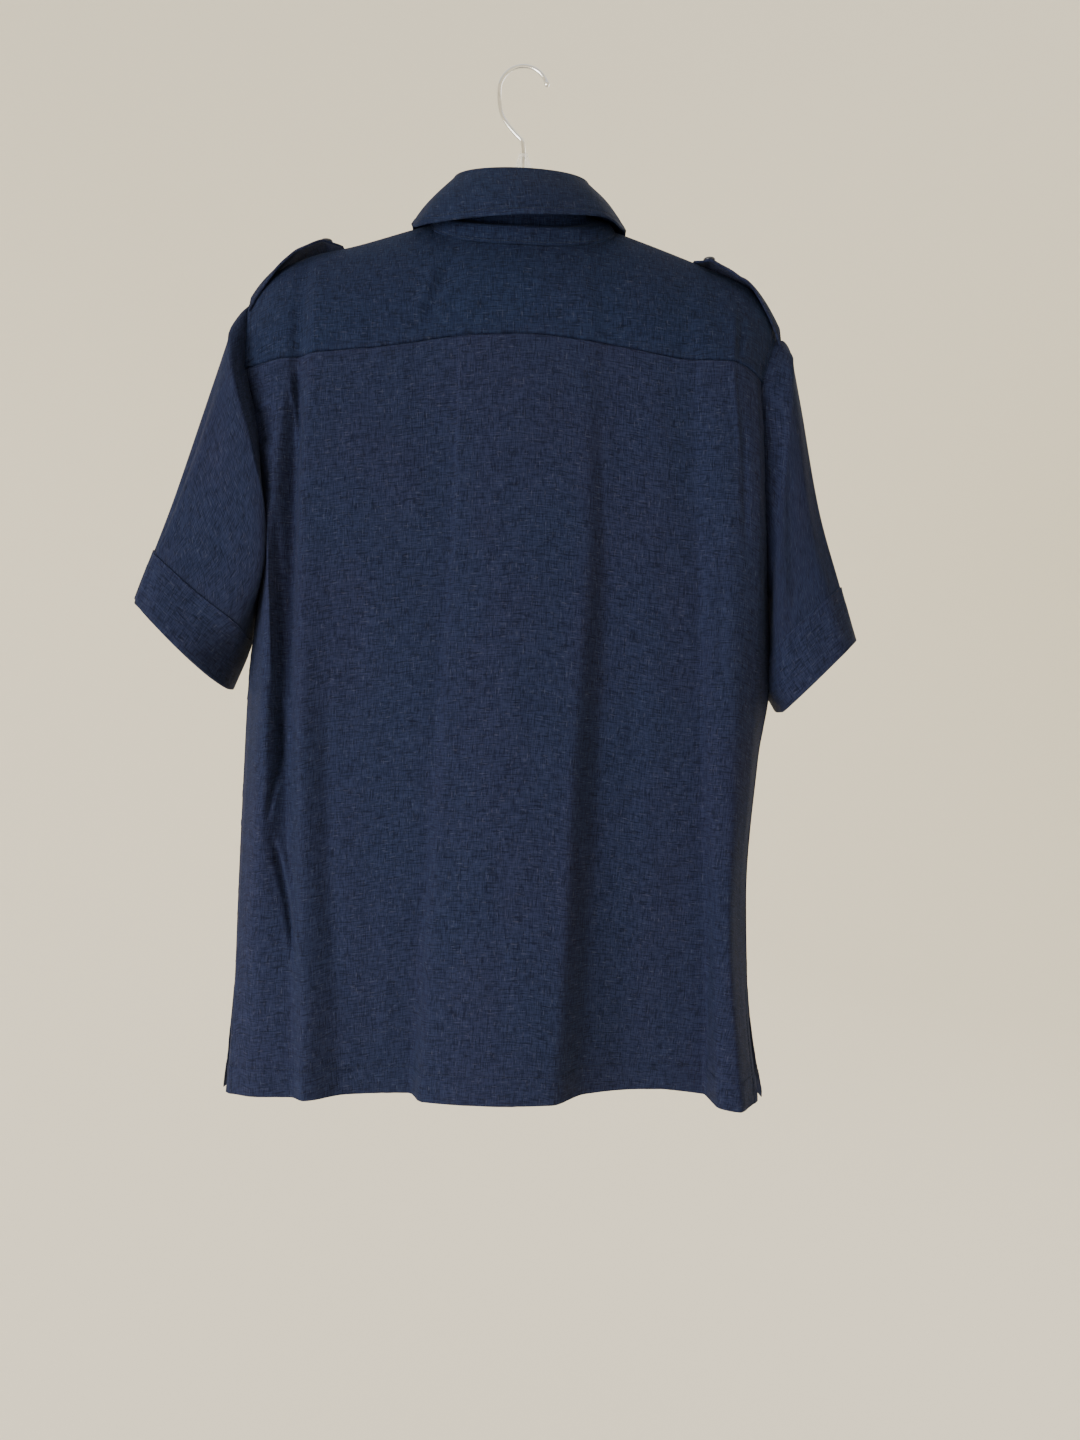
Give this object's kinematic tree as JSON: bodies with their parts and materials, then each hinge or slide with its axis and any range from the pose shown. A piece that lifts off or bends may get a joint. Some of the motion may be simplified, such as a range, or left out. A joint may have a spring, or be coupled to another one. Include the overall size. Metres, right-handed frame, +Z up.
{
  "type": "short-sleeved safari shirt on a clothes hanger",
  "caption": "Navy chambray safari shirt with yoke, epaulettes, turned-up cuffs and side vents, hung on a clear hanger by its hook.",
  "frame": {"origin": "inside top of the hanger's hook, where a rail or wall hook carries it", "axes": "+Z up, the shirt's front faces -Y and its back +Y, the wearer's left is +X"},
  "size_m": [0.6759, 0.1551, 0.9668],
  "materials": {
    "cloth": "plain-woven navy chambray with slubs",
    "button": "navy resin, satin",
    "clear_plastic": "clear moulded plastic",
    "steel": "polished steel wire"
  },
  "bodies": {
    "root": {"yoke": "cloth", "back": "cloth", "front_left": "cloth", "front_right": "cloth", "placket": "cloth", "pocket_left": "cloth", "pocket_right": "cloth", "pocket_flap_left": "cloth", "pocket_flap_right": "cloth", "sleeve_left": "cloth", "sleeve_right": "cloth", "cuff_left": "cloth", "cuff_right": "cloth", "epaulette_left": "cloth", "epaulette_right": "cloth", "collar_stand": "cloth", "collar": "cloth", "button_front_1": "button", "button_front_2": "button", "button_front_3": "button", "button_front_4": "button", "button_front_5": "button", "button_front_6": "button", "button_front_7": "button", "button_pocket_left": "button", "button_pocket_right": "button", "button_epaulette_left": "button", "button_epaulette_right": "button", "hanger": "clear_plastic", "hook": "steel"}
  },
  "joints": []
}
